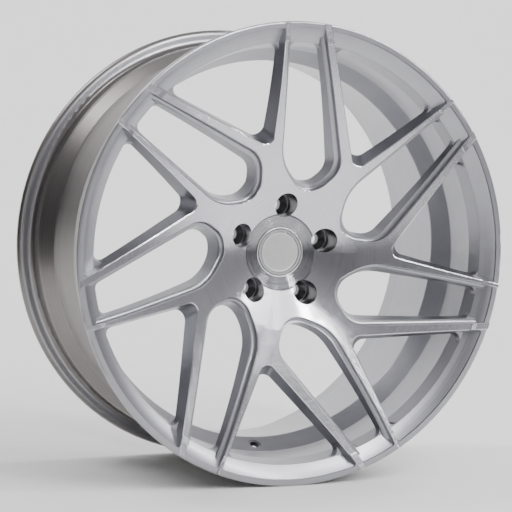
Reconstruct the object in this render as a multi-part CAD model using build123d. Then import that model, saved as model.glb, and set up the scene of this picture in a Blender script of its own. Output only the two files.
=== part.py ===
from build123d import *
import math
import os

os.makedirs("parts", exist_ok=True)

# Forged road-racing wheel, 20 x 9 J, with a pull-off centre cap.
# Everything is drawn with the wheel's axis on Z, its street side towards +Z and
# its mid-plane on Z = 0, and is turned at the end so that the street side faces -Y.

# Rim contour (J flange, 5 degree seats)
BEAD_SEAT_R = 256.4
FLANGE_HEIGHT = 17.3
FLANGE_R = BEAD_SEAT_R + FLANGE_HEIGHT
BEAD_WIDTH = 228.6
FLANGE_WIDTH = 11.2
FLANGE_CURL_R = 6.5
FLANGE_EDGE_R = 2.6
SEAT_CORNER_R = 6.5
SEAT_WIDTH = 20.0
SEAT_TAPER = math.tan(math.radians(5))
HUMP_HEIGHT = 1.0
HUMP_WIDTH = 4.0
HUMP_FALL = 5.0
HUMP_FALL_DEPTH = 0.8
FRONT_Z = BEAD_WIDTH / 2 + FLANGE_WIDTH
SEAT_Z = BEAD_WIDTH / 2

# Barrel: a well behind the front seat, then a long tapered tube to the rear seat
FRONT_LAND_R = BEAD_SEAT_R - 11.2
FRONT_LAND_LENGTH = 78.0
WELL_SLOPE_LENGTH = 26.5
WELL_R = BEAD_SEAT_R - 25.4
WELL_WALL = 6.2
WELL_INNER_BEND_R = 5.0
WELL_OUTER_BEND_R = 9.0
REAR_TUBE_R = BEAD_SEAT_R - 18.1
REAR_LAND_R = BEAD_SEAT_R - 6.2
REAR_SHOULDER_Z = 54.0
REAR_SHOULDER_LENGTH = 18.0
REAR_SHOULDER_DEPTH = 9.0
REAR_BEND_R = 6.0
REAR_WALL = 5.4
REAR_MOUTH_LENGTH = 16.0
REAR_MOUTH_FLARE = 2.0
REAR_EDGE_R = 3.4

# Front lip between the spoke ends
LIP_DROP = 1.8
LIP_INNER_R = FLANGE_R - 23.4
LIP_BEAD_R = FLANGE_R - 7.7
LIP_EDGE_R = 0.8
LIP_COVE_SAG = 0.9
LIP_COVE_INNER_DROP = 14.6
LIP_COVE_EDGE_DROP = 2.6
LIP_LAND_DROP = 34.5
LIP_POCKET_CORNER_R = 3.0
LAND_STEP = 0.8
SPOKE_ROOT_R = 9.0
SPOKE_ROOT_SKIN = 0.2
SPOKE_ROOT_DEPTH = 3.0
SPOKE_ROOT_DROP = 5.0

# Hub
OFFSET = 30.0
PCD = 114.3
LUG_COUNT = 5
LUG_ANGLE = 2.9
LUG_POCKET_R = 14.5
LUG_SEAT_R = 12.6
LUG_HOLE_R = 7.25
LUG_HOLE_LENGTH = 8.5
LUG_SEAT_STEP = 2.6
CENTRE_BORE_R = 36.55
PAD_R = 77.0
HUB_BACK_R = 84.0
HUB_BACK_DEPTH = 9.0
BORE_LEAD_WIDTH = 3.0
BORE_LEAD_DEPTH = 3.0
PAD_POCKET_R = 10.5
PAD_POCKET_DEPTH = 9.0
FUNNEL_R = 46.4
FUNNEL_BEVEL = 1.7
FUNNEL_DROP = 2.4
FUNNEL_FALL = 2.2

# Spoke face: one cone round the hub, then one long convex arc out to the rim
FACE_HUB_DROP = 56.0
TIP_INSET = 1.2
TIP_ROOT_DROP = 5.4
EDGE_BREAK = 0.8
FACE_KNEE_R = 92.0
FACE_KNEE_DROP = 38.0
FACE_MID_R = 170.0
FACE_MID_DROP = 16.9
BACK_INNER_R = 96.0
BACK_INNER_DROP = 64.5
BACK_MID_R = 162.0
BACK_MID_DROP = 40.9
BACK_OUTER_R = 232.0
BACK_OUTER_DROP = 23.5

# Spoke plan, drawn for this flange radius and stretched outside the hub to fit
SECTORS = 7
PLAN_FLANGE_R = 273.7
PLAN_HUB_R = 74.0
OPEN_END = 6.0
TWIN_LEFT = (-21.3, -21.0, 235.0)
TWIN_RIGHT = (23.6, 270.0)
ARCH_LEFT = (-13.75, 106.8)
ARCH_FOOT = (27.7, 64.1)
ARCH_RIGHT = (65.9, 101.7)
ARCH_BEND_R = 900.0
ARCH_LEFT_R = 58.0
ARCH_FOOT_R = 26.5
ARCH_RIGHT_R = 31.0
CROTCH = (80.0, 98.8)
CROTCH_LEFT = (31.8, 270.0)
CROTCH_R = 6.3
CROTCH_REAR_R = 14.0
CROTCH_SKEW = -8.0
STEP_DEPTH = 9.0
STEP_WIDTH = 5.4
STEP_ROOT_R = 3.0
ARCH_DRAFT = 0.27
ARCH_REAR_LENGTH = 45.0
CROTCH_DRAFT = 0.31

# Valve hole, square to the slope of the well
VALVE_ANGLE = 183.0
VALVE_R = 5.75
VALVE_FACE_R = 8.2
VALVE_FACE_DEPTH = 0.9

# Centre cap
CAP_SEAT_DEPTH = 2.6
CAP_CLEARANCE = 0.35
CAP_SEAT_GAP = 0.3
CAP_R = 30.2
CAP_BORE_R = CAP_R - 2.2
CAP_RUN_CLEARANCE = 0.06
CAP_WEB = 9.0
CAP_PLATE = 1.7
CAP_RIM_HEIGHT = 3.4
CAP_RIM_WIDTH = 1.8
CAP_GROOVE_HEIGHT = 2.0
CAP_BAND_HEIGHT = 2.95
CAP_BAND_R = CAP_R - 2.6
CAP_LEG_COUNT = 8
CAP_LEG_SPAN = 26.0
CAP_LEG_WALL = 2.2
CAP_LEG_LENGTH = 8.6
CAP_LEG_LEAD = 0.8
CAP_LEG_LEAD_LENGTH = 1.2
CAP_RING_WIRE_R = 0.8
CAP_RING_R = CAP_BORE_R - 2.2
CAP_RING_DROP = 6.2
CAP_RING_GAP = 24.0
CAP_RING_CLEARANCE = 0.06
CAP_BADGE_R = CAP_BAND_R - 3.4
CAP_BADGE_THICK = 0.9
CAP_BADGE_DISH = 0.25
CAP_BADGE_EDGE = 1.2
CAP_BADGE_CLEARANCE = 0.1

# How far a cutting tool runs past the surface that it opens
OVERCUT = 5.0

BOTTOM = (Align.CENTER, Align.CENTER, Align.MIN)
STRETCH = (FLANGE_R - PLAN_HUB_R) / (PLAN_FLANGE_R - PLAN_HUB_R)
PAD_Z = OFFSET
CAP_R_SEAT = CAP_R + CAP_CLEARANCE
SECTOR_ANGLE = 360 / SECTORS
COVE_Z = FRONT_Z - LIP_COVE_INNER_DROP


def plan(x, y):
    """Point of the spoke plan, moved out or in so that it fits the flange radius."""
    r = math.hypot(x, y)
    fitted = PLAN_HUB_R + (r - PLAN_HUB_R) * STRETCH
    return Vector(x * fitted / r, y * fitted / r)


def reach(r):
    """Radius of a face point, fitted to the flange radius in the same way."""
    return PLAN_HUB_R + (r - PLAN_HUB_R) * STRETCH


FACE_START = (FUNNEL_R, FRONT_Z - FACE_HUB_DROP)
FACE_KNEE = (reach(FACE_KNEE_R), FRONT_Z - FACE_KNEE_DROP)
FACE_MID = (reach(FACE_MID_R), FRONT_Z - FACE_MID_DROP)
FACE_END = (FLANGE_R - TIP_INSET, FRONT_Z)
FUNNEL_FLOOR_Z = FRONT_Z - FACE_HUB_DROP - FUNNEL_DROP - FUNNEL_FALL
CAP_SEAT_Z = FUNNEL_FLOOR_Z - CAP_SEAT_DEPTH
BACK_INNER = (reach(BACK_INNER_R), FRONT_Z - BACK_INNER_DROP)
BACK_MID = (reach(BACK_MID_R), FRONT_Z - BACK_MID_DROP)
BACK_OUTER = (reach(BACK_OUTER_R), FRONT_Z - BACK_OUTER_DROP)
SPOKE_ROOT = (LIP_INNER_R + SPOKE_ROOT_DEPTH, COVE_Z - SPOKE_ROOT_DROP)
FACE_ARC = ThreePointArc(FACE_KNEE, FACE_MID, FACE_END)


def face_z(r):
    """Height of the spoke face at radius r, level beyond its tips."""
    r = min(r, FACE_END[0])
    if r < FACE_KNEE[0]:
        share = (r - FACE_START[0]) / (FACE_KNEE[0] - FACE_START[0])
        return FACE_START[1] + share * (FACE_KNEE[1] - FACE_START[1])
    inside = FACE_ARC.radius**2 - (r - FACE_ARC.arc_center.X) ** 2
    return FACE_ARC.arc_center.Y + math.sqrt(max(inside, 0))


def turned(face):
    """Solid of a full turn about Z of a face drawn as (radius, height)."""
    return revolve(Plane.XZ * face, axis=Axis.Z, revolution_arc=360)


def rounded(points):
    """Closed outline through (x, y, corner radius) points, with tangent arcs at the corners."""
    count = len(points)
    spots = [Vector(p[0], p[1]) for p in points]
    entries = []
    exits = []
    edges = []
    for i, (x, y, radius) in enumerate(points):
        before = (spots[i] - spots[i - 1]).normalized()
        after = (spots[(i + 1) % count] - spots[i]).normalized()
        half = math.radians(before.get_angle(after)) / 2
        entries.append(spots[i] - before * radius * math.tan(half))
        exits.append(spots[i] + after * radius * math.tan(half))
        if radius > 0:
            inward = (after - before).normalized()
            middle = spots[i] + inward * radius * (1 / math.cos(half) - 1)
            edges.append(ThreePointArc(entries[i], middle, exits[i]))
    for i in range(count):
        edges.append(Line(exits[i - 1], entries[i]))
    return make_face(edges)


def rim_ring():
    """Flanges, seats, well and barrel as one turned ring, with a plain front lip."""
    lip_z = FRONT_Z - LIP_DROP
    seat_end = SEAT_Z - SEAT_WIDTH
    seat_low = BEAD_SEAT_R - SEAT_WIDTH * SEAT_TAPER
    hump_z = seat_end - HUMP_WIDTH
    land_z = FRONT_Z - FRONT_LAND_LENGTH
    well_z = land_z - WELL_SLOPE_LENGTH
    rear_z = -REAR_SHOULDER_Z - REAR_SHOULDER_LENGTH
    fall = FRONT_LAND_R - WELL_R
    slope = math.hypot(fall, land_z - well_z)
    out_r = WELL_WALL * (land_z - well_z) / slope
    out_z = WELL_WALL * fall / slope
    inside = [
        (REAR_LAND_R + REAR_MOUTH_FLARE, -FRONT_Z, FLANGE_EDGE_R),
        (REAR_LAND_R, rear_z - REAR_MOUTH_LENGTH, REAR_BEND_R),
        (REAR_TUBE_R, rear_z, REAR_BEND_R),
        (WELL_R, well_z, WELL_INNER_BEND_R),
        (FRONT_LAND_R, land_z, WELL_INNER_BEND_R),
        (FRONT_LAND_R + LAND_STEP, FRONT_Z - LIP_LAND_DROP, 0),
        (LIP_INNER_R, COVE_Z, 0),
        (LIP_INNER_R, lip_z, LIP_EDGE_R),
    ]
    front = [
        (FLANGE_R, lip_z, FLANGE_EDGE_R),
        (FLANGE_R, SEAT_Z, FLANGE_CURL_R),
        (BEAD_SEAT_R, SEAT_Z, SEAT_CORNER_R),
        (seat_low, seat_end, 0),
        (seat_low + HUMP_HEIGHT, hump_z, HUMP_FALL),
        (seat_low - HUMP_FALL_DEPTH, hump_z - HUMP_FALL, 0),
    ]
    well = [
        (seat_low - 2 * HUMP_FALL_DEPTH, land_z - out_z, WELL_OUTER_BEND_R),
        (WELL_R + out_r, well_z - out_z, WELL_OUTER_BEND_R),
        (REAR_TUBE_R + REAR_WALL, -REAR_SHOULDER_Z - REAR_SHOULDER_DEPTH, WELL_OUTER_BEND_R),
    ]
    rear = [(r, -z, radius) for r, z, radius in reversed(front[1:])]
    rear_edge = [(FLANGE_R, -FRONT_Z, REAR_EDGE_R)]
    return turned(rounded(inside + front + well + rear + rear_edge))


def spoke_disc():
    """Hub and spokes before anything is cut: face in front, matching arc behind."""
    hub_back = (HUB_BACK_R, BACK_INNER[1] - HUB_BACK_DEPTH)
    root_top = (SPOKE_ROOT[0], FRONT_Z - TIP_ROOT_DROP)
    tip_low = (FACE_END[0], FRONT_Z - TIP_ROOT_DROP)
    edges = [
        Line((0, PAD_Z), (PAD_R, PAD_Z)),
        Line((PAD_R, PAD_Z), hub_back),
        Line(hub_back, BACK_INNER),
        ThreePointArc(BACK_INNER, BACK_MID, BACK_OUTER),
        Line(BACK_OUTER, SPOKE_ROOT),
        Line(SPOKE_ROOT, root_top),
        Line(root_top, tip_low),
        Line(tip_low, FACE_END),
        ThreePointArc(FACE_END, FACE_MID, FACE_KNEE),
        Line(FACE_KNEE, FACE_START),
        Line(FACE_START, (0, FACE_START[1])),
        Line((0, FACE_START[1]), (0, PAD_Z)),
    ]
    return turned(make_face(Wire(edges)))


def arch_sides():
    """Sides of the arched window between the two spokes of a twin, in order."""
    outer = plan(*TWIN_RIGHT)
    top_left = Vector(plan(TWIN_LEFT[0], TWIN_RIGHT[1]).X, outer.Y)
    knee = plan(TWIN_LEFT[1], TWIN_LEFT[2])
    left, foot, right = plan(*ARCH_LEFT), plan(*ARCH_FOOT), plan(*ARCH_RIGHT)
    return [(top_left, knee), (knee, left), (left, foot), (foot, right), (right, outer)]


def crotch_sides():
    """Sides of the pointed window between the two branches of a spoke, in order."""
    corner = plan(*CROTCH)
    outer = plan(*CROTCH_LEFT)
    along = Vector(0, 1).rotate(Axis.Z, -SECTOR_ANGLE)
    return [(outer, corner), (corner, corner + along * (outer - corner).length)]


def level_line(height):
    """Line across the top of an arched window."""
    return (Vector(50, height), Vector(-50, height))


def slant_line(distance):
    """Line across the outer end of a pointed window, square to its middle."""
    out = Vector(0, 1).rotate(Axis.Z, -SECTOR_ANGLE / 2 - CROTCH_SKEW)
    side = Vector(out.Y, -out.X)
    return (out * distance + side * 50, out * distance - side * 50)


def cross(a, b):
    """Where the lines through two sides meet."""
    d, e = a[1] - a[0], b[1] - b[0]
    share = (b[0] - a[0]).cross(e).Z / d.cross(e).Z
    return a[0] + d * share


def shift(point, inset, draft, level):
    """How far a drafted wall stands inside the window's outline at one level."""
    return inset + draft * (face_z(point.length) - level)


def window(sides, radii, closing, inset=0, draft=0, level=0):
    """Outline of a window at one level, closed by a line across its outer end."""
    placed = []
    for side in sides:
        along = (side[1] - side[0]).normalized()
        inward = Vector(-along.Y, along.X)
        placed.append([p + inward * shift(p, inset, draft, level) for p in side])
    first = cross(closing, placed[0])
    last = cross(placed[-1], closing)
    points = [(first.X, first.Y, 0)]
    for before, after, radius in zip(placed, placed[1:], radii):
        corner = cross(before, after)
        points.append((corner.X, corner.Y, radius))
    points.append((last.X, last.Y, 0))
    return Plane.XY.offset(level) * rounded(points)


def arch_radii(inset=0, draft=0, level=0):
    """Corner radii of the arched window, kept parallel as its walls move in."""
    corners = [plan(*ARCH_LEFT), plan(*ARCH_FOOT), plan(*ARCH_RIGHT)]
    radii = [ARCH_LEFT_R, ARCH_FOOT_R, ARCH_RIGHT_R]
    fitted = [r - shift(c, inset, draft, level) for c, r in zip(corners, radii)]
    return [ARCH_BEND_R] + fitted


def above_face(drop):
    """Everything in front of a surface that lies this far below the spoke face."""
    top = FRONT_Z + 4 * OVERCUT
    far = FLANGE_R + 2 * OPEN_END
    edges = [
        Line((0, FACE_START[1] - drop), (FACE_START[0], FACE_START[1] - drop)),
        Line((FACE_START[0], FACE_START[1] - drop), (FACE_KNEE[0], FACE_KNEE[1] - drop)),
        ThreePointArc(
            (FACE_KNEE[0], FACE_KNEE[1] - drop),
            (FACE_MID[0], FACE_MID[1] - drop),
            (FACE_END[0], FACE_END[1] - drop),
        ),
        Line((FACE_END[0], FACE_END[1] - drop), (far, FACE_END[1] - drop)),
        Line((far, FACE_END[1] - drop), (far, top)),
        Line((far, top), (0, top)),
        Line((0, top), (0, FACE_START[1] - drop)),
    ]
    return turned(make_face(Wire(edges)))


def arch_tool():
    """Arched window: an upright wall down to a narrow step, then a drafted wall."""
    sides = arch_sides()
    outer_end = level_line(FLANGE_R + OPEN_END)
    hub_end = level_line(ARCH_RIGHT[1] + ARCH_REAR_LENGTH)
    top = FRONT_Z + OVERCUT
    middle = BACK_INNER[1] + OVERCUT
    bottom = BACK_INNER[1] - 3 * OVERCUT
    wall = (STEP_WIDTH - ARCH_DRAFT * STEP_DEPTH, ARCH_DRAFT)
    upper = extrude(window(sides, arch_radii(), outer_end, level=bottom), amount=top - bottom)
    upper = upper & above_face(STEP_DEPTH)
    step = [e for e in upper.edges() if lies_on(e, lambda r: face_z(r) - STEP_DEPTH)]
    upper = fillet(step, STEP_ROOT_R)
    sections = [window(sides, arch_radii(*wall, z), outer_end, *wall, z) for z in (middle, top)]
    lower = loft(sections, ruled=True)
    below = []
    for z in (bottom, middle):
        below.append(window(sides[1:], arch_radii(*wall, z)[1:], hub_end, *wall, z))
    return upper, lower, loft(below, ruled=True)


def crotch_tool():
    """Pointed window with plain drafted walls and a sloping round corner."""
    sides = crotch_sides()
    outer_end = slant_line(FLANGE_R + 2 * OPEN_END)
    top = FRONT_Z + OVERCUT
    bottom = BACK_INNER[1]
    low = window(sides, [CROTCH_REAR_R], outer_end, 0, CROTCH_DRAFT, bottom)
    high = window(sides, [CROTCH_R], outer_end, 0, CROTCH_DRAFT, top)
    return loft([low, high], ruled=True)


def lies_on(edge, height):
    """Whether an edge lies on a surface turned about Z, given by its height at each radius."""
    for share in (0.03, 0.25, 0.5, 0.75, 0.97):
        point = edge @ share
        if abs(point.Z - height(math.hypot(point.X, point.Y))) > 0.003:
            return False
    return True


def climbs(edge, radius):
    """Whether an edge climbs along a surface turned about Z, given by its radius at each height."""
    for share in (0.05, 0.5, 0.95):
        point = edge @ share
        if abs(math.hypot(point.X, point.Y) - radius(point.Z)) > 0.02:
            return False
    return abs((edge % 0.5).Z) > 0.6


def borders_face(edge):
    """Whether an edge is where the spoke face meets a window's wall."""
    radii = [math.hypot((edge @ share).X, (edge @ share).Y) for share in (0.03, 0.5, 0.97)]
    inside = FUNNEL_R < min(radii) and max(radii) < FACE_END[0]
    return inside and max(radii) - min(radii) > 0.001 and lies_on(edge, face_z)


def lip_pockets(windows):
    """Scooped pockets of the front lip, one beyond each window and as wide as it is."""
    top = FRONT_Z + OVERCUT - 1
    edge_z = FRONT_Z - LIP_DROP - LIP_COVE_EDGE_DROP
    middle = ((LIP_BEAD_R + LIP_INNER_R) / 2, (edge_z + COVE_Z) / 2 - LIP_COVE_SAG)
    open_r = LIP_INNER_R - OVERCUT
    section = [
        Line((LIP_BEAD_R, top), (LIP_BEAD_R, edge_z)),
        ThreePointArc((LIP_BEAD_R, edge_z), middle, (LIP_INNER_R, COVE_Z)),
        Line((LIP_INNER_R, COVE_Z), (open_r, COVE_Z)),
        Line((open_r, COVE_Z), (open_r, top)),
        Line((open_r, top), (LIP_BEAD_R, top)),
    ]
    scoop = turned(make_face(section))
    pockets = []
    for tool in windows:
        pocket = tool & scoop
        corners = [e for e in pocket.edges() if climbs(e, lambda z: LIP_BEAD_R)]
        pockets.append(fillet(corners, LIP_POCKET_CORNER_R) if corners else pocket)
    return pockets


def band_r(z):
    """Radius of the tapered band inside the lip at height z."""
    taper = (LIP_INNER_R - FRONT_LAND_R - LAND_STEP) / (LIP_LAND_DROP - LIP_COVE_INNER_DROP)
    return LIP_INNER_R - (COVE_Z - z) * taper


def spoke_roots(windows):
    """Thin skin inside the lip that carries the fillets where the spokes run into it."""
    low = COVE_Z - 8 * OVERCUT
    top = COVE_Z + 4 * OVERCUT
    core = Polyline(
        (0, low),
        (band_r(low) - SPOKE_ROOT_SKIN, low),
        (band_r(top) - SPOKE_ROOT_SKIN, top),
        (0, top),
        close=True,
    )
    core = turned(make_face(core))
    skin_top = COVE_Z - 0.4
    skin = Polyline(
        BACK_OUTER,
        (BACK_OUTER[0], skin_top),
        (band_r(skin_top) + 2.0, skin_top),
        (SPOKE_ROOT[0] - 1.0, SPOKE_ROOT[1] - 0.2),
        close=True,
    )
    roots = turned(make_face(skin))
    for tool in windows:
        closed = tool & core
        corners = [e for e in closed.edges() if climbs(e, lambda z: band_r(z) - SPOKE_ROOT_SKIN)]
        roots = roots - around(fillet(corners, SPOKE_ROOT_R), SECTORS)
    return roots


def lug_tool():
    """Stepped pocket for one wheel nut: socket room, 60 degree seat, stud hole."""
    seat = PAD_Z + LUG_HOLE_LENGTH
    rise = (LUG_SEAT_R - LUG_HOLE_R) / math.tan(math.radians(30))
    step = seat + rise + LUG_SEAT_STEP
    section = [
        (0, PAD_Z - 1, 0),
        (LUG_HOLE_R, PAD_Z - 1, 0),
        (LUG_HOLE_R, seat, 0),
        (LUG_SEAT_R, seat + rise, 0),
        (LUG_SEAT_R, step, 0),
        (LUG_POCKET_R, step, 0),
        (LUG_POCKET_R, FRONT_Z, 0),
        (0, FRONT_Z, 0),
    ]
    return Pos(0, PCD / 2, 0) * turned(rounded(section))


def bore_tool():
    """Centre bore from the back, cap bore, cap seat and the shallow funnel round it."""
    bevel_r = FUNNEL_R - FUNNEL_BEVEL
    bevel_z = FACE_START[1] - FUNNEL_DROP
    section = [
        (0, PAD_Z - 1, 0),
        (CENTRE_BORE_R + BORE_LEAD_WIDTH, PAD_Z - 1, 0),
        (CENTRE_BORE_R, PAD_Z - 1 + BORE_LEAD_DEPTH, 0),
        (CENTRE_BORE_R, CAP_SEAT_Z - CAP_WEB, 0),
        (CAP_BORE_R, CAP_SEAT_Z - CAP_WEB, 0),
        (CAP_BORE_R, CAP_SEAT_Z, 0),
        (CAP_R_SEAT, CAP_SEAT_Z, 0),
        (CAP_R_SEAT, FUNNEL_FLOOR_Z, 0),
        (bevel_r, bevel_z, 0),
        (FUNNEL_R, FACE_START[1], 0),
        (FUNNEL_R, FRONT_Z, 0),
        (0, FRONT_Z, 0),
    ]
    return turned(rounded(section))


def valve_tool():
    """Drilled valve hole with a shallow spot face, square to the slope of the well."""
    land_z = FRONT_Z - FRONT_LAND_LENGTH
    fall = FRONT_LAND_R - WELL_R
    length = math.hypot(fall, WELL_SLOPE_LENGTH)
    r = FRONT_LAND_R - fall / 2
    z = land_z - WELL_SLOPE_LENGTH / 2
    out = Vector(math.sin(math.radians(VALVE_ANGLE)), math.cos(math.radians(VALVE_ANGLE)))
    inward = out * (-WELL_SLOPE_LENGTH / length) + Vector(0, 0, fall / length)
    place = Plane(origin=out * r + Vector(0, 0, z), z_dir=inward)
    hole = Cylinder(VALVE_R, 8 * OVERCUT)
    face = Pos(0, 0, -VALVE_FACE_DEPTH) * Cylinder(VALVE_FACE_R, 2 * OVERCUT, align=BOTTOM)
    return place * (hole + face)


def around(shape, count, start=0):
    """Copies of a shape spread evenly about Z, clockwise seen from the street side."""
    return [Rot(0, 0, -(start + i * 360 / count)) * shape for i in range(count)]


def wheel_forging():
    """Rim, spokes and hub: one forging, machined."""
    windows = (*arch_tool(), crotch_tool())
    disc = spoke_disc()
    for tool in windows:
        disc = disc - around(tool, SECTORS)
    disc = chamfer([e for e in disc.edges() if borders_face(e)], EDGE_BREAK)
    upper, lower, _, crotch = windows
    rim = rim_ring()
    for tool in lip_pockets((upper, lower, crotch)):
        rim = rim - around(tool, SECTORS)
    wheel = disc + rim + spoke_roots((lower, crotch))
    wheel = wheel - bore_tool()
    wheel = wheel - around(lug_tool(), LUG_COUNT, LUG_ANGLE)
    relief = Pos(0, PCD / 2, PAD_Z) * Cylinder(PAD_POCKET_R, 2 * PAD_POCKET_DEPTH)
    wheel = wheel - around(relief, LUG_COUNT, LUG_ANGLE + 180 / LUG_COUNT)
    return wheel - valve_tool()


def cap_shell():
    """Moulded centre cap: stepped round plate with spring legs behind it."""
    base = CAP_SEAT_Z + CAP_SEAT_GAP
    badge_r = CAP_BADGE_R + CAP_BADGE_CLEARANCE
    section = [
        (0, base, 0),
        (CAP_R, base, 0.3),
        (CAP_R, base + CAP_RIM_HEIGHT, CAP_RIM_WIDTH / 2 - 0.05),
        (CAP_R - CAP_RIM_WIDTH, base + CAP_RIM_HEIGHT, CAP_RIM_WIDTH / 2 - 0.05),
        (CAP_R - CAP_RIM_WIDTH, base + CAP_GROOVE_HEIGHT, 0.2),
        (CAP_BAND_R + 0.2, base + CAP_GROOVE_HEIGHT, 0.2),
        (CAP_BAND_R, base + CAP_BAND_HEIGHT, 0.3),
        (badge_r + 0.6, base + CAP_BAND_HEIGHT, 0.3),
        (badge_r, base + CAP_PLATE, 0),
        (0, base + CAP_PLATE, 0),
    ]
    plate = turned(rounded(section))
    outer = CAP_BORE_R - CAP_RUN_CLEARANCE
    inner = outer - CAP_LEG_WALL
    tip = base - CAP_LEG_LENGTH
    leg = [
        (inner, tip, 0),
        (outer - CAP_LEG_LEAD, tip, 0),
        (outer, tip + CAP_LEG_LEAD_LENGTH, 0),
        (outer, base + 0.2, 0),
        (inner, base + 0.2, 0),
    ]
    face = Plane.XZ * rounded(leg)
    one = revolve(face, axis=Axis.Z, revolution_arc=CAP_LEG_SPAN)
    groove = Pos(0, 0, base - CAP_RING_DROP) * Torus(CAP_RING_R, CAP_RING_WIRE_R + CAP_RING_CLEARANCE)
    one = one - groove
    shell = plate
    for leg_solid in around(one, CAP_LEG_COUNT):
        shell = shell + leg_solid
    return shell


def cap_spring_ring():
    """Open ring of round wire that spreads the legs of the cap."""
    base = CAP_SEAT_Z + CAP_SEAT_GAP
    section = Pos(CAP_RING_R, base - CAP_RING_DROP) * Circle(CAP_RING_WIRE_R)
    return revolve(Plane.XZ * section, axis=Axis.Z, revolution_arc=360 - CAP_RING_GAP)


def cap_badge():
    """Plain round plate let into the face of the cap, a little dished inside its edge."""
    base = CAP_SEAT_Z + CAP_SEAT_GAP + CAP_PLATE
    top = base + CAP_BADGE_THICK
    section = [
        (0, base, 0),
        (CAP_BADGE_R, base, 0),
        (CAP_BADGE_R, top, 0.3),
        (CAP_BADGE_R - CAP_BADGE_EDGE, top, 0.3),
        (CAP_BADGE_R - 2 * CAP_BADGE_EDGE, top - CAP_BADGE_DISH, 0.3),
        (0, top - CAP_BADGE_DISH, 0),
    ]
    return turned(rounded(section))


for name, build in (
    ("wheel_forging", wheel_forging),
    ("cap_shell", cap_shell),
    ("cap_spring_ring", cap_spring_ring),
    ("cap_badge", cap_badge),
):
    export_step(Rot(90, 0, 0) * build(), "parts/" + name + ".step")
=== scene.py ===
import math

import bmesh
import bpy
from mathutils import Matrix, Vector


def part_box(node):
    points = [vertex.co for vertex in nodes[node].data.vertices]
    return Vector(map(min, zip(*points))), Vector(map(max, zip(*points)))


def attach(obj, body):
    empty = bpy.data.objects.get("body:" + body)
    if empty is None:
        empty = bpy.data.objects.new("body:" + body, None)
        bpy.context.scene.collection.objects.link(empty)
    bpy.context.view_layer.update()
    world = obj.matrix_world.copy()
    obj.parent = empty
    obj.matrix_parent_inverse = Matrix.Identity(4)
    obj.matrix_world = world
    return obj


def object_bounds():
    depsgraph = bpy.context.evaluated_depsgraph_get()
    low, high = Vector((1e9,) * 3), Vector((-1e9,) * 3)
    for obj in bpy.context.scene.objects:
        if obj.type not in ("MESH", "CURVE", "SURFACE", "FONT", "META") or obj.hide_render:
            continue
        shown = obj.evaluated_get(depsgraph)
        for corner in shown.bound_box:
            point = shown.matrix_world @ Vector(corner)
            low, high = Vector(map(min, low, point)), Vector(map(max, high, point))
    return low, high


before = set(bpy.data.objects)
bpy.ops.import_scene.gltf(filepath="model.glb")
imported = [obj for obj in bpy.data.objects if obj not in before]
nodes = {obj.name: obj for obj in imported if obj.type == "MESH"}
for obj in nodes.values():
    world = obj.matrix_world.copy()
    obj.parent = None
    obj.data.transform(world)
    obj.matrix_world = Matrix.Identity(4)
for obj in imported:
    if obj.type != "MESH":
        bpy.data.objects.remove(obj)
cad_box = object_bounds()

# CAMERA
# Stands 2.2 m away, 0.9 m to the left of the axis and a little above it, with a long lens, so the
# face of the wheel is seen turned away and the barrel shows behind its left side.
camera_place = Vector((-0.8897, -2.053, 0.1349))
look = Vector((0.3957, 0.9161, -0.0643)).normalized()
roughly_up = Vector((0.0, 0.0700, 0.9975))
side = look.cross(roughly_up).normalized()
up = side.cross(look)
axes = Matrix((side, up, -look)).transposed()
camera_data = bpy.data.cameras.new("camera")
camera_data.sensor_width = 36.0
camera_data.lens = 127.4
camera = bpy.data.objects.new("camera", camera_data)
bpy.context.scene.collection.objects.link(camera)
camera.matrix_world = Matrix.Translation(camera_place) @ axes.to_4x4()
bpy.context.scene.camera = camera


# WHEEL FORGING
# One piece of forged aluminium. The barrel, lip and spoke sides are sprayed satin silver, and the
# fronts of the spokes and hub are then turned bright on a lathe, which leaves fine rings.
class Value:
    """A number that varies over a surface: Python arithmetic on it adds Math nodes."""

    def __init__(self, shader, socket):
        self.shader = shader
        self.socket = socket

    def _maths(self, operation, *inputs):
        return self.shader.add("ShaderNodeMath", {"operation": operation}, dict(enumerate(inputs)))

    def __add__(self, other):
        return self._maths("ADD", self, other)

    def __radd__(self, other):
        return self._maths("ADD", other, self)

    def __sub__(self, other):
        return self._maths("SUBTRACT", self, other)

    def __rsub__(self, other):
        return self._maths("SUBTRACT", other, self)

    def __mul__(self, other):
        return self._maths("MULTIPLY", self, other)

    def __rmul__(self, other):
        return self._maths("MULTIPLY", other, self)

    def __truediv__(self, other):
        return self._maths("DIVIDE", self, other)

    def __neg__(self):
        return self._maths("MULTIPLY", self, -1.0)

    def __abs__(self):
        return self._maths("ABSOLUTE", self)

    def __lt__(self, other):
        return self._maths("LESS_THAN", self, other)

    def __gt__(self, other):
        return self._maths("GREATER_THAN", self, other)

    def root(self):
        return self._maths("SQRT", self)

    def rounded(self):
        return self._maths("ROUND", self)

    def sine(self):
        return self._maths("SINE", self)

    def cosine(self):
        return self._maths("COSINE", self)

    def bearing(self, other):
        return self._maths("ARCTAN2", self, other)

    def most(self, other):
        return self._maths("MAXIMUM", self, other)

    def fade(self, start, end):
        """0 at start and 1 at end, smooth between them."""
        settings = {"interpolation_type": "SMOOTHSTEP"}
        inputs = {"Value": self, "From Min": start, "From Max": end}
        return self.shader.add("ShaderNodeMapRange", settings, inputs)


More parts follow.
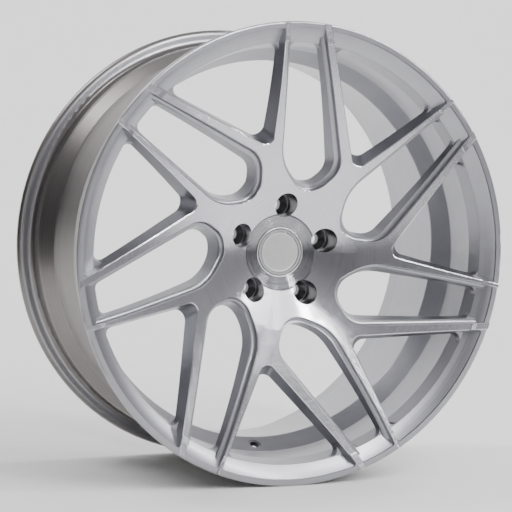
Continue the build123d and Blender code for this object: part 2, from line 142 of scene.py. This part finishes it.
class Finish:
    """A material with one Principled shader, and a method that adds any other node to it."""

    def __init__(self, name):
        self.material = bpy.data.materials.new(name)
        self.material.use_nodes = True
        self.tree = self.material.node_tree
        self.surface = self.tree.nodes["Principled BSDF"]
        place = self.tree.nodes.new("ShaderNodeTexCoord")
        self.place = place.outputs["Object"]
        split = self.tree.nodes.new("ShaderNodeSeparateXYZ")
        self.tree.links.new(self.place, split.inputs[0])
        self.x, self.y, self.z = (Value(self, split.outputs[i]) for i in range(3))

    def off_axis(self):
        """Distance from the wheel's axis."""
        return (self.x * self.x + self.z * self.z).root()

    def add(self, kind, settings, inputs, output=0):
        node = self.tree.nodes.new(kind)
        for name, setting in settings.items():
            setattr(node, name, setting)
        for name, value in inputs.items():
            self.join(value, node.inputs[name])
        return Value(self, node.outputs[output])

    def join(self, value, socket):
        if isinstance(value, Value):
            self.tree.links.new(value.socket, socket)
        elif isinstance(value, bpy.types.NodeSocket):
            self.tree.links.new(value, socket)
        else:
            socket.default_value = value

    def blend(self, share, first, second):
        """Colour between two colours."""
        settings = {"data_type": "RGBA"}
        return self.add("ShaderNodeMix", settings, {0: share, 6: first, 7: second}, output=2)

    def vector(self, x, y, z):
        return self.add("ShaderNodeCombineXYZ", {}, {0: x, 1: y, 2: z})

    def move(self, operation, first, second, output=0):
        inputs = {0: first, 1: second}
        return self.add("ShaderNodeVectorMath", {"operation": operation}, inputs, output)

    def noise(self, where, scale, detail):
        inputs = {"Vector": where, "Scale": scale, "Detail": detail}
        return self.add("ShaderNodeTexNoise", {}, inputs)

    def bump(self, strength, distance, **inputs):
        """Fine relief, which goes on top of any Normal it is given."""
        inputs.update(Strength=strength, Distance=distance)
        self.set(Normal=self.add("ShaderNodeBump", {}, inputs))

    def set(self, **inputs):
        for name, value in inputs.items():
            self.join(value, self.surface.inputs[name.replace("_", " ")])


wheel = nodes["wheel_forging"]
flange_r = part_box("wheel_forging")[1].x
front = -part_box("wheel_forging")[0].y
hub_edge_r = 0.0464
hub_edge = front - 0.056
knee_r = 0.092
knee = front - 0.038
middle_r = 0.170
middle = front - 0.0169
tip_r = flange_r - 0.0012
edge_break = 0.0009
face_start_r = hub_edge_r - 0.0002
funnel_back = hub_edge - 0.0068
stud_circle_r = 0.1143 / 2
stud_angle = math.radians(2.9)
stud_step = math.radians(72)
stud_pocket_r = 0.0145
wheel_well_r = 0.2340
front_bead = 0.116
cap_gap_r = 0.03055

silver = Finish("turned_and_sprayed_forging")
r = silver.off_axis()
height = -silver.y

# the spoke face is a cone out to the knee, then an arc through the middle to the tip
first_chord = Vector((middle_r - knee_r, middle - knee))
second_chord = Vector((tip_r - middle_r, front - middle))
first_half = Vector((middle_r + knee_r, middle + knee)) / 2
second_half = Vector((tip_r + middle_r, front + middle)) / 2
across = Vector((-first_chord.y, first_chord.x))
reach = (second_half - first_half).dot(second_chord) / across.dot(second_chord)
centre = first_half + across * reach
arc_r = (centre - Vector((knee_r, knee))).length
cone_slope = (knee - hub_edge) / (knee_r - hub_edge_r)
cone = (r - hub_edge_r) * cone_slope + hub_edge
arc = (arc_r * arc_r - (r - centre.x) * (r - centre.x)).most(0.0).root() + centre.y
past_knee = r > knee_r
face = cone * (1 - past_knee) + arc * past_knee
below = face - height
on_face = (abs(below) < edge_break) * (r > face_start_r)
in_funnel = (r < hub_edge_r) * (height > funnel_back)
turned = on_face.most(in_funnel)

# how far a point is from the axis of the nearest stud hole
angle = silver.x.bearing(silver.z) - stud_angle
turn = (angle / stud_step).rounded() * stud_step
from_stud_x = r * (angle - turn).sine()
from_stud_z = r * (angle - turn).cosine() - stud_circle_r
from_stud = (from_stud_x * from_stud_x + from_stud_z * from_stud_z).root()
in_pocket = (from_stud < stud_pocket_r + 0.0004) * (below > edge_break)

# lathe marks: fine rings lean to and from the axis at random, and broad ones differ a little in
# brightness and gloss
fine_ring = silver.noise(silver.vector(r, 0.0, 0.0), 30000.0, 0.0)
broad_ring = silver.noise(silver.vector(r, 0.0, 0.0), 260.0, 2.0)
fine_tilt = (fine_ring - 0.5) * (1.35 + 0.9 * in_funnel)
tilt = (fine_tilt + (broad_ring - 0.5) * 0.02) * turned
normal = silver.add("ShaderNodeNewGeometry", {}, {}, output="Normal")
lean = silver.vector(silver.x / r * tilt, 0.0, silver.z / r * tilt)
leaned = silver.move("ADD", normal, lean)

# sprayed coat: soft mottling, and faint rings on the barrel that show through it
mottle = silver.noise(silver.place, 55.0, 4.0)
grain = silver.noise(silver.place, 1400.0, 2.0)
barrel_ring = silver.noise(silver.vector(height, r, 0.0), 520.0, 2.0)
sprayed_share = mottle * 0.5 + barrel_ring * 0.5
sprayed_color = silver.blend(sprayed_share, (0.315, 0.315, 0.34, 1), (0.43, 0.43, 0.458, 1))
turned_color = silver.blend(broad_ring, (0.57, 0.565, 0.605, 1), (0.69, 0.685, 0.73, 1))
funnel_color = silver.blend(broad_ring, (0.27, 0.27, 0.29, 1), (0.37, 0.37, 0.39, 1))
# the stud pockets are darker: partly a darker finish inside them, partly painted shade for their
# deep holes
pocket_paint_and_shade_color = silver.blend(grain, (0.15, 0.15, 0.16, 1), (0.24, 0.24, 0.25, 1))
# the outside of the barrel is painted darker and warmer: painted shade for the dark room it
# reflects
outer_barrel_shade_color = silver.blend(barrel_ring, (0.16, 0.15, 0.145, 1), (0.28, 0.265, 0.255, 1))
from_axis = silver.vector(silver.x / r, 0.0, silver.z / r)
outward = silver.move("DOT_PRODUCT", normal, from_axis, output=1)
barrel_shade_share = outward.fade(0.2, 0.6) * r.fade(wheel_well_r, wheel_well_r + 0.003)
barrel_shade_share = barrel_shade_share * height.fade(front_bead, front_bead - 0.008)
color = silver.blend(barrel_shade_share, sprayed_color, outer_barrel_shade_color)
color = silver.blend(on_face, color, turned_color)
color = silver.blend(in_funnel, color, funnel_color)
color = silver.blend(in_pocket, color, pocket_paint_and_shade_color)
# a thin near-black ring just outside the cap's edge: painted shadow in the gap between cap and
# wheel
painted_gap_shadow = r.fade(cap_gap_r + 0.0003, cap_gap_r)
color = silver.blend(painted_gap_shadow, color, (0.05, 0.05, 0.05, 1))
sprayed_rough = 0.34 + (grain - 0.5) * 0.10 + (barrel_ring - 0.5) * 0.12
turned_rough = 0.13 - 0.05 * in_funnel + (broad_ring - 0.5) * 0.04
rough = sprayed_rough * (1 - turned) + turned_rough * turned
silver.set(Base_Color=color, Metallic=1.0, Roughness=rough, Coat_Weight=0.25, Coat_Roughness=0.12)
silver.bump(0.05, 0.0004, Height=grain, Normal=leaned)
wheel.material_slots[0].material = silver.material


# CENTRE CAP MOULDING
# A plastic moulding with a rounded rim, its brightness a painted highlight, a groove, a flat band
# and eight spring legs behind.
# It is painted matte silver, so it looks softer than the metal, and its legs snap into the bore.
shell = nodes["cap_shell"]
cap_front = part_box("cap_shell")[0].y
cap_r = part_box("cap_shell")[1].x
paint = Finish("matte_silver_paint")
cap_radius = paint.off_axis()
flake = paint.noise(paint.place, 2600.0, 2.0)
cloud = paint.noise(paint.place, 130.0, 3.0)
# a lighter, glossier band on the cap's rounded rim: a painted highlight
painted_rim_highlight = cap_radius.fade(cap_r - 0.0022, cap_r - 0.0008)
paint_color = paint.blend(cloud, (0.42, 0.42, 0.43, 1), (0.52, 0.52, 0.53, 1))
paint_color = paint.blend(painted_rim_highlight, paint_color, (0.80, 0.80, 0.805, 1))
# near-black rings in the cap's groove and at the step inside its band: painted shade
groove_painted_shade = cap_radius.fade(cap_r - 0.0029, cap_r - 0.0026)
groove_painted_shade = groove_painted_shade * cap_radius.fade(cap_r - 0.0015, cap_r - 0.0019)
step_painted_shade = cap_radius.fade(cap_r - 0.0052, cap_r - 0.0055) * 0.9
paint_color = paint.blend(groove_painted_shade.most(step_painted_shade), paint_color, (0.09, 0.09, 0.095, 1))
paint_rough = 0.36 + (flake - 0.5) * 0.16 - painted_rim_highlight * 0.12
paint.set(Base_Color=paint_color, Metallic=0.9, Roughness=paint_rough)
paint.set(Coat_Weight=0.15, Coat_Roughness=0.2)
paint.bump(0.12, 0.0002, Height=flake)
shell.material_slots[0].material = paint.material


# BAND PIPS
# Eight small raised pips moulded on the cap's flat band, evenly spaced.
# They are part of the cap's moulding and carry its paint.
def pick_edges(piece, wanted):
    """In edit mode, select the edges whose corners both pass a test, and nothing else."""
    bpy.ops.mesh.select_mode(type="EDGE")
    bpy.ops.mesh.select_all(action="DESELECT")
    mesh = bmesh.from_edit_mesh(piece.data)
    for edge in mesh.edges:
        edge.select = all(wanted(corner.co) for corner in edge.verts)
    bmesh.update_edit_mesh(piece.data)


pip_count = 8
pip_r = 0.00062
pip_height = 0.0004
pip_circle_r = cap_r - 0.0040
band_front = cap_front + 0.00045
bpy.ops.object.select_all(action="DESELECT")
bpy.ops.mesh.primitive_cylinder_add(
    vertices=20,
    radius=pip_r,
    depth=2 * pip_height,
    location=(0, band_front, pip_circle_r),
    rotation=(math.radians(90), 0, 0),
)
first_pip = bpy.context.object
bpy.ops.object.transform_apply(location=True, rotation=True, scale=True)
bpy.ops.object.mode_set(mode="EDIT")
pick_edges(first_pip, lambda corner: corner.y < band_front - pip_height * 0.9)
bpy.ops.mesh.bevel(offset=0.00022, segments=3, affect="EDGES")
bpy.ops.mesh.select_all(action="SELECT")
bpy.ops.mesh.normals_make_consistent(inside=False)
bpy.ops.object.mode_set(mode="OBJECT")
bpy.ops.object.shade_smooth_by_angle(angle=math.radians(50))
for i in range(pip_count):
    pip = first_pip
    if i > 0:
        pip = first_pip.copy()
        pip.data = first_pip.data.copy()
        bpy.context.scene.collection.objects.link(pip)
        pip.data.transform(Matrix.Rotation(i * math.tau / pip_count, 4, "Y"))
    pip.name = "cap_pip_%d" % (i + 1)
    pip.data.name = pip.name
    if not pip.data.materials:
        pip.data.materials.append(paint.material)
    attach(pip, "centre_cap")


# CAP SPRING RING
# A ring of drawn steel wire, open over a short gap, that presses the cap's legs outwards.
# It lies in a groove inside the legs and shows only when the cap is off the wheel.
ring = nodes["cap_spring_ring"]
wire = Finish("drawn_spring_wire")
wire_angle = wire.x.bearing(wire.z)
draw_line = wire.noise(wire.vector(wire_angle * 0.6, wire.y * 900.0, 0.0), 3.0, 3.0)
wire_stain = wire.noise(wire.place, 240.0, 3.0)
wire_color = wire.blend(wire_stain, (0.34, 0.34, 0.35, 1), (0.52, 0.51, 0.50, 1))
wire.set(Base_Color=wire_color, Metallic=1.0, Roughness=0.26 + (draw_line - 0.5) * 0.2)
wire.bump(0.15, 0.0001, Height=draw_line)
ring.material_slots[0].material = wire.material


# CAP DISC
# A thin plain aluminium disc let into the face of the cap, a little dished inside its edge.
# It is bead blasted to a fine even grain and bonded in.
disc = nodes["cap_badge"]
disc_edge_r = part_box("cap_badge")[1].x
blasted = Finish("bead_blasted_disc")
disc_r = blasted.off_axis()
bead = blasted.noise(blasted.place, 1900.0, 3.0)
haze = blasted.noise(blasted.place, 90.0, 3.0)
# a lighter, glossier ring just inside the disc's edge: a painted highlight
disc_rim_painted_highlight = disc_r.fade(disc_edge_r - 0.0018, disc_edge_r - 0.0010)
disc_color = blasted.blend(haze, (0.50, 0.50, 0.505, 1), (0.60, 0.60, 0.60, 1))
disc_color = blasted.blend(disc_rim_painted_highlight, disc_color, (0.80, 0.80, 0.80, 1))
disc_rough = 0.42 + (bead - 0.5) * 0.18 - disc_rim_painted_highlight * 0.16
blasted.set(Base_Color=disc_color, Metallic=0.95, Roughness=disc_rough)
blasted.bump(0.25, 0.0002, Height=bead)
disc.material_slots[0].material = blasted.material


# FLOOR AND BACKDROP
# One seamless sheet of pale paper: flat under the wheel, then swept up behind it in a long curve.
# It stands in for a plain studio and isn't part of the wheel.
floor_z = cad_box[0][2]
paper_width = 4.4
sweep_back = 2.6
sweep_height = 3.4
sweep_bend_r = 1.5
paper_middle = (0.9, sweep_back - paper_width / 2, floor_z)
bpy.ops.object.select_all(action="DESELECT")
bpy.ops.mesh.primitive_plane_add(size=paper_width, location=paper_middle)
sweep = bpy.context.object
sweep.name = "paper_sweep"
bpy.ops.object.transform_apply(location=True, rotation=True, scale=True)
bpy.ops.object.mode_set(mode="EDIT")
pick_edges(sweep, lambda corner: corner.y > sweep_back - 0.01)
bpy.ops.mesh.extrude_region_move(TRANSFORM_OT_translate={"value": (0, 0, sweep_height)})
pick_edges(sweep, lambda corner: corner.y > sweep_back - 0.01 and corner.z < floor_z + 0.01)
bpy.ops.mesh.bevel(offset=sweep_bend_r, segments=24, affect="EDGES")
bpy.ops.object.mode_set(mode="OBJECT")
bpy.ops.object.shade_smooth()
paper = Finish("paper")
fibre = paper.noise(paper.place, 60.0, 4.0)
paper_color = paper.blend(fibre, (0.84, 0.84, 0.832, 1), (0.90, 0.90, 0.892, 1))
paper.set(Base_Color=paper_color, Roughness=0.75)
sweep.data.materials.append(paper.material)


# STUDIO LIGHTS
# Two narrow overhead tubes draw the bright radial fans on the lathe marks, a broad box between them
# fills the lower hub, a tall box on the left lifts the lip, and two more wash the paper behind.
wheel_middle = (0, 0, 0)


def softbox(name, place, aim, width, height, power):
    data = bpy.data.lights.new(name, "AREA")
    data.shape = "RECTANGLE"
    data.size = width
    data.size_y = height
    data.energy = power
    box = bpy.data.objects.new(name, data)
    box.location = place
    box.rotation_euler = (Vector(aim) - Vector(place)).to_track_quat("-Z", "Y").to_euler()
    bpy.context.scene.collection.objects.link(box)


softbox("tube_left", (0.37, -1.87, 1.44), wheel_middle, 0.10, 1.8, 34)
softbox("tube_right", (1.53, -1.15, 1.44), wheel_middle, 0.10, 1.8, 30)
softbox("broad_overhead", (0.87, -1.56, 1.35), wheel_middle, 1.0, 0.7, 8)
softbox("left_edge", (-1.9, -1.5, 0.5), wheel_middle, 0.35, 1.6, 5)
softbox("paper_wash_left", (-1.5, 0.9, 2.4), (-0.2, 2.6, 0.4), 1.6, 0.8, 60)
softbox("paper_wash_right", (2.2, 0.7, 2.4), (1.6, 2.6, 0.4), 1.6, 0.8, 60)

# the room is dim, darkest to the left of the wheel and lighter overhead
world = bpy.data.worlds.new("studio")
world.use_nodes = True
room = world.node_tree
background = room.nodes["Background"]
sky_place = room.nodes.new("ShaderNodeTexCoord")
direction = room.nodes.new("ShaderNodeSeparateXYZ")
room.links.new(sky_place.outputs["Generated"], direction.inputs[0])
sideways = room.nodes.new("ShaderNodeMapRange")
sideways.inputs["From Min"].default_value = -0.8
sideways.inputs["From Max"].default_value = 0.5
sideways.inputs["To Min"].default_value = 0.10
sideways.inputs["To Max"].default_value = 0.36
room.links.new(direction.outputs["X"], sideways.inputs["Value"])
upwards = room.nodes.new("ShaderNodeMapRange")
upwards.inputs["From Min"].default_value = 0.1
upwards.inputs["From Max"].default_value = 1.0
upwards.inputs["To Min"].default_value = 0.0
upwards.inputs["To Max"].default_value = 0.40
room.links.new(direction.outputs["Z"], upwards.inputs["Value"])
strength = room.nodes.new("ShaderNodeMath")
strength.operation = "ADD"
room.links.new(sideways.outputs[0], strength.inputs[0])
room.links.new(upwards.outputs[0], strength.inputs[1])
room.links.new(strength.outputs[0], background.inputs["Strength"])
background.inputs["Color"].default_value = (0.97, 0.96, 1.0, 1)
bpy.context.scene.world = world
